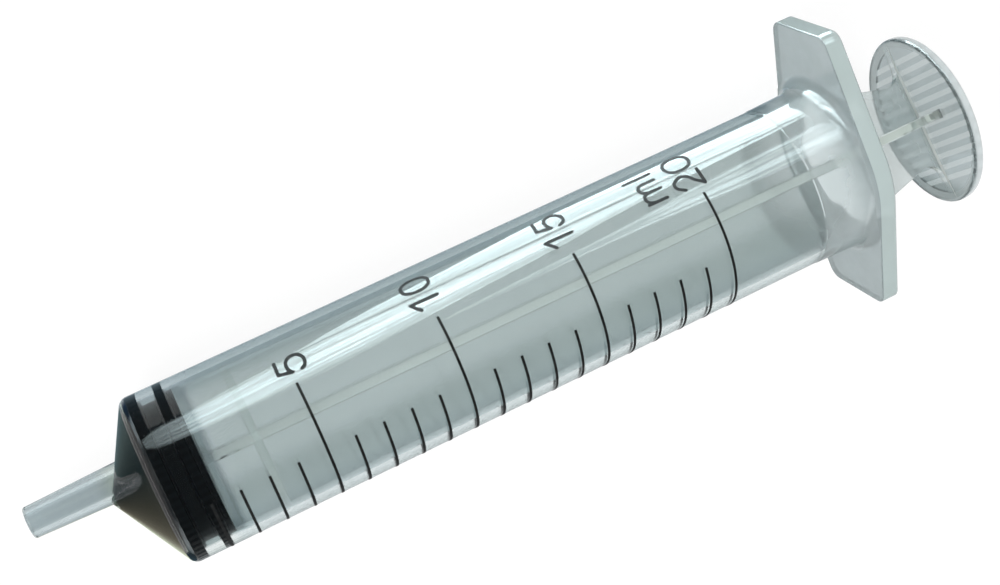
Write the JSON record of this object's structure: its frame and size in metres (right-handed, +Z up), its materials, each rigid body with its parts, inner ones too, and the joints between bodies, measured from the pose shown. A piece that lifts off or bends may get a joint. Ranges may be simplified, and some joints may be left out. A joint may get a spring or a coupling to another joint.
{
  "type": "plastic syringe",
  "caption": "Clear disposable syringe with an offset slip tip, finger flange, printed millilitre scale, black rubber gasket and a cross-ribbed plunger that slides and turns.",
  "frame": {"origin": "on the barrel's axis at the zero of the scale, where the front sealing rib stands when the plunger is fully in", "axes": "+X along the axis from the tip to the thumb disc, +Y along the finger flange's long side, +Z up through the side that carries the scale"},
  "size_m": [0.1227, 0.0376, 0.0228],
  "materials": {
    "clear_barrel": "clear moulded polypropylene, faintly milky, glossy outside",
    "clear_rod": "clear moulded polypropylene, faintly milky, satin on the ribs",
    "black_rubber": "smooth black moulded rubber, wet-looking where it presses on the bore",
    "scale_ink": "thin dark printed ink"
  },
  "bodies": {
    "barrel": {"barrel": "clear_barrel", "scale_lines": "scale_ink"},
    "gasket": {"gasket": "black_rubber"},
    "plunger_rod": {"plunger_rod": "clear_rod"}
  },
  "joints": [
    {"name": "plunger_slide", "type": "slide", "parent": "barrel", "child": "gasket", "axis": [1, 0, 0], "range_m": [0, 0.081]},
    {"name": "rod_turn", "type": "hinge", "parent": "gasket", "child": "plunger_rod", "pos_m": [0, 0, 0], "axis": [1, 0, 0], "continuous": true}
  ]
}
